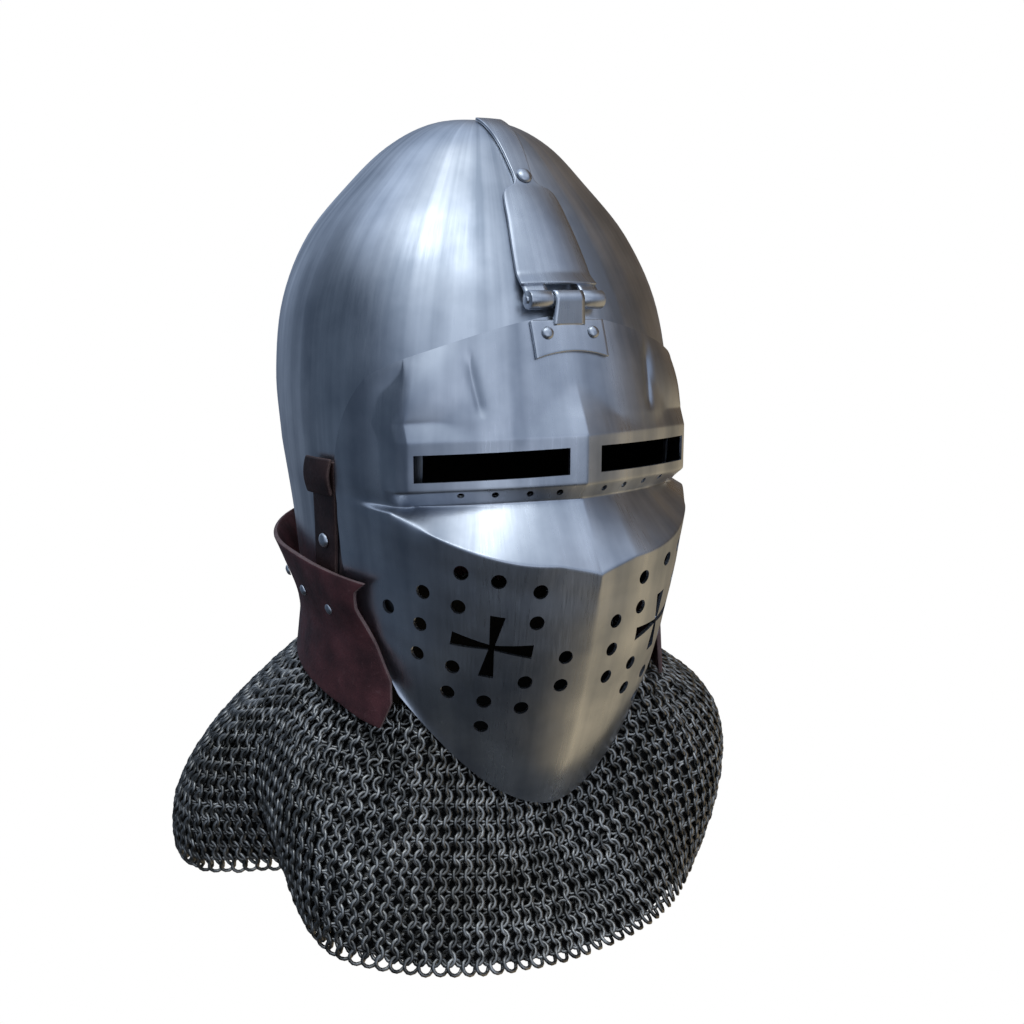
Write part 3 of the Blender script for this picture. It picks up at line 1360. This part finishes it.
# Mail wire: round mild steel wire, dark with oil and handling. The eye sees each ring a little
# lighter or darker than the next, some of them stained brown, with glints on their outer turns.
mail_finish, shader, place = new_material("oiled steel wire", Metallic=1.0)
each = remap(mail_finish, cloud(mail_finish, place, 0.007, 1.0), (0.35, 0.7))
stain = remap(mail_finish, cloud(mail_finish, place, 0.05, 4.0), (0.45, 0.75), 0.0, 0.6)
colour = blend(mail_finish, stain, blend(mail_finish, each, "#61605d", "#bfbcb6"), "#4d473a")
rough = remap(mail_finish, cloud(mail_finish, place, 0.0012, 2.0), NOISE_SPAN, 0.30, 0.48)
drive(mail_finish, shader, colour, rough)

for name, rings in mail_sectors.items():
    shape = bmesh.new()
    for turned, place in rings:
        moved = ring_points @ np.array(turned).T + np.array(place)
        ring_mesh.vertices.foreach_set("co", moved.ravel())
        shape.from_mesh(ring_mesh)
    curtain = finished_mesh("mail_" + name, shape, [mail_finish], "helmet", "mail_steel", 180)
    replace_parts(curtain, "aventail")
bpy.data.meshes.remove(ring_mesh)


# Mail lining
#
# Dark linen sewn inside the mail, so that nothing shows through the rings but black. It is 0.8 mm
# thick, hangs behind the rings and ends a little above the hem.
LINING_DEPTH = 0.0048        # its outside, behind the mail's outside
LINING_WALL = 0.0008
LINING_HEM = 0.0055          # how far its hem lies above the mail's
LINING_ROWS = 30
LINING_COLUMNS = 180

# Dark linen: a dull, nearly black cloth whose threads show only as a faint mottle.
linen, shader, place = new_material("dark linen", Roughness=0.95, IOR=1.4)
drive(linen, shader, blend(linen, cloud(linen, place, 0.0015, 3.0), "#0c0c0c", "#191816"))

lining_rows = [
    row_curve(mix(LINING_HEM, max(tops), step / LINING_ROWS), LINING_DEPTH)
    for step in range(LINING_ROWS + 1)
]


def lining_place(u, v):
    """Point of the lining, from the nape round to the nape and from the hem up."""
    return Vector(between(mix(-math.pi, math.pi, u), samples, lining_rows[round(v * LINING_ROWS)]))


lining_shape = grid_shape(LINING_COLUMNS, LINING_ROWS, lining_place, -0.2)
bmesh.ops.remove_doubles(lining_shape, verts=lining_shape.verts, dist=0.00002)
lining = finished_mesh("mail_lining", lining_shape, [linen], "helmet", "mail_steel", 60)
thicken(lining, LINING_WALL, offset=-1.0)


# Studio
#
# A white paper floor well below the helmet, which only the camera sees, one cool window light high
# at its right hand, and a grey sky with soft pale and warm patches. None of it is the object's.
FLOOR_DOWN = 0.62
FLOOR_HALF_WIDTH = 6.0
WINDOW_AZIMUTH, WINDOW_RISE = -34, 66
WINDOW_DISTANCE = 1.5
WINDOW_SIZE = (1.1, 0.6)
WINDOW_WATTS = 2.6
CAMERA_PLACE = (-0.35466, -0.62784, 0.0869)
CAMERA_AZIMUTH = 31
CAMERA_PITCH = 10.3
FOCAL_PIXELS = 1250
IMAGE_PIXELS = 1024
SENSOR = 36.0

# Patches of the sky, each laid over the ones before it.
SKY_PATCHES = [
    # azimuth as heading() has it, elevation, degrees within which it's full and past which it
    # ends, colour, power
    (0, -90, 55, 104, "#33363a", 1.0),
    (-118, 12, 24, 62, "#4a5666", 1.0),
    (104, 14, 26, 62, "#5f5243", 1.0),
    (82, -38, 20, 50, "#b4a68c", 1.0),
    (-150, 74, 20, 46, "#c8d9f2", 1.0),
    (-4, 6, 10, 30, "#d6e3f8", 1.0),
    (34, 46, 8, 28, "#c6d3e8", 1.0),
    (-46, 42, 8, 26, "#d3e2f6", 1.0),
    (-26, 62, 20, 48, "#d3e2f6", 0.92),
    (-34, 70, 4, 22, "#f4fbff", 1.5),
]

floor_shape = bmesh.new()
bmesh.ops.create_grid(floor_shape, x_segments=1, y_segments=1, size=FLOOR_HALF_WIDTH)
bmesh.ops.translate(floor_shape, verts=floor_shape.verts, vec=(0, 0, -FLOOR_DOWN))
floor = add_object("floor", mesh_of("floor", floor_shape))

# Pale paper: plain white to the camera and clear to other rays, so that light comes from below.
paper = bpy.data.materials.new("pale paper")
world = bpy.data.worlds.new("studio")
for owner in (paper, world):
    owner.use_nodes = True
    owner.node_tree.nodes.clear()
seen = add_node(paper, "ShaderNodeLightPath").outputs["Is Camera Ray"]
clear = add_node(paper, "ShaderNodeBsdfTransparent").outputs[0]
glow = add_node(paper, "ShaderNodeEmission", {"Color": (1, 1, 1, 1), "Strength": 1.0}).outputs[0]
both = add_node(paper, "ShaderNodeMixShader", {0: seen, 1: clear, 2: glow}).outputs[0]
add_node(paper, "ShaderNodeOutputMaterial", {"Surface": both})
floor.data.materials.append(paper)

bpy.context.scene.world = world
toward = add_node(world, "ShaderNodeTexCoord").outputs["Generated"]
sky = "#93a2b9"
for azimuth, elevation, near, far, colour, power in SKY_PATCHES:
    aim = heading(math.radians(azimuth), math.radians(elevation))
    close = compute(world, "VectorMath", "DOT_PRODUCT", toward, aim, out="Value")
    span = (math.cos(math.radians(far)), math.cos(math.radians(near)))
    share = remap(world, close, span, interpolation_type="SMOOTHSTEP")
    sky = blend(world, share, sky, [power * part for part in linear(colour)])
backdrop, light = [
    add_node(world, "ShaderNodeBackground", {"Color": colour, "Strength": 1.0}).outputs[0]
    for colour in ((1, 1, 1, 1), sky)
]
seen = add_node(world, "ShaderNodeLightPath").outputs["Is Camera Ray"]
both = add_node(world, "ShaderNodeMixShader", {0: seen, 1: light, 2: backdrop}).outputs[0]
add_node(world, "ShaderNodeOutputWorld", {"Surface": both})

lamp = bpy.data.lights.new("window", "AREA")
lamp.shape = "RECTANGLE"
lamp.size, lamp.size_y = WINDOW_SIZE
lamp.energy = WINDOW_WATTS
lamp.color = linear("#e6f2ff")[:3]
aim = heading(math.radians(WINDOW_AZIMUTH), math.radians(WINDOW_RISE))
window = add_object("window", lamp)
window.location = aim * WINDOW_DISTANCE
window.rotation_euler = aim.to_track_quat("Z", "Y").to_euler()

lens = bpy.data.cameras.new("camera")
lens.sensor_width = SENSOR
lens.lens = FOCAL_PIXELS / IMAGE_PIXELS * SENSOR
turn, pitch = math.radians(CAMERA_AZIMUTH), math.radians(CAMERA_PITCH)
level = Vector((math.sin(turn), math.cos(turn), 0))
looking = level * math.cos(pitch) - Vector((0, 0, 1)) * math.sin(pitch)
upward = level * math.sin(pitch) + Vector((0, 0, 1)) * math.cos(pitch)
axes = Matrix((looking.cross(upward), upward, -looking)).transposed()
camera = add_object("camera", lens)
camera.matrix_world = Matrix.Translation(CAMERA_PLACE) @ axes.to_4x4()
bpy.context.scene.camera = camera
bpy.context.scene.view_settings.view_transform = "Standard"
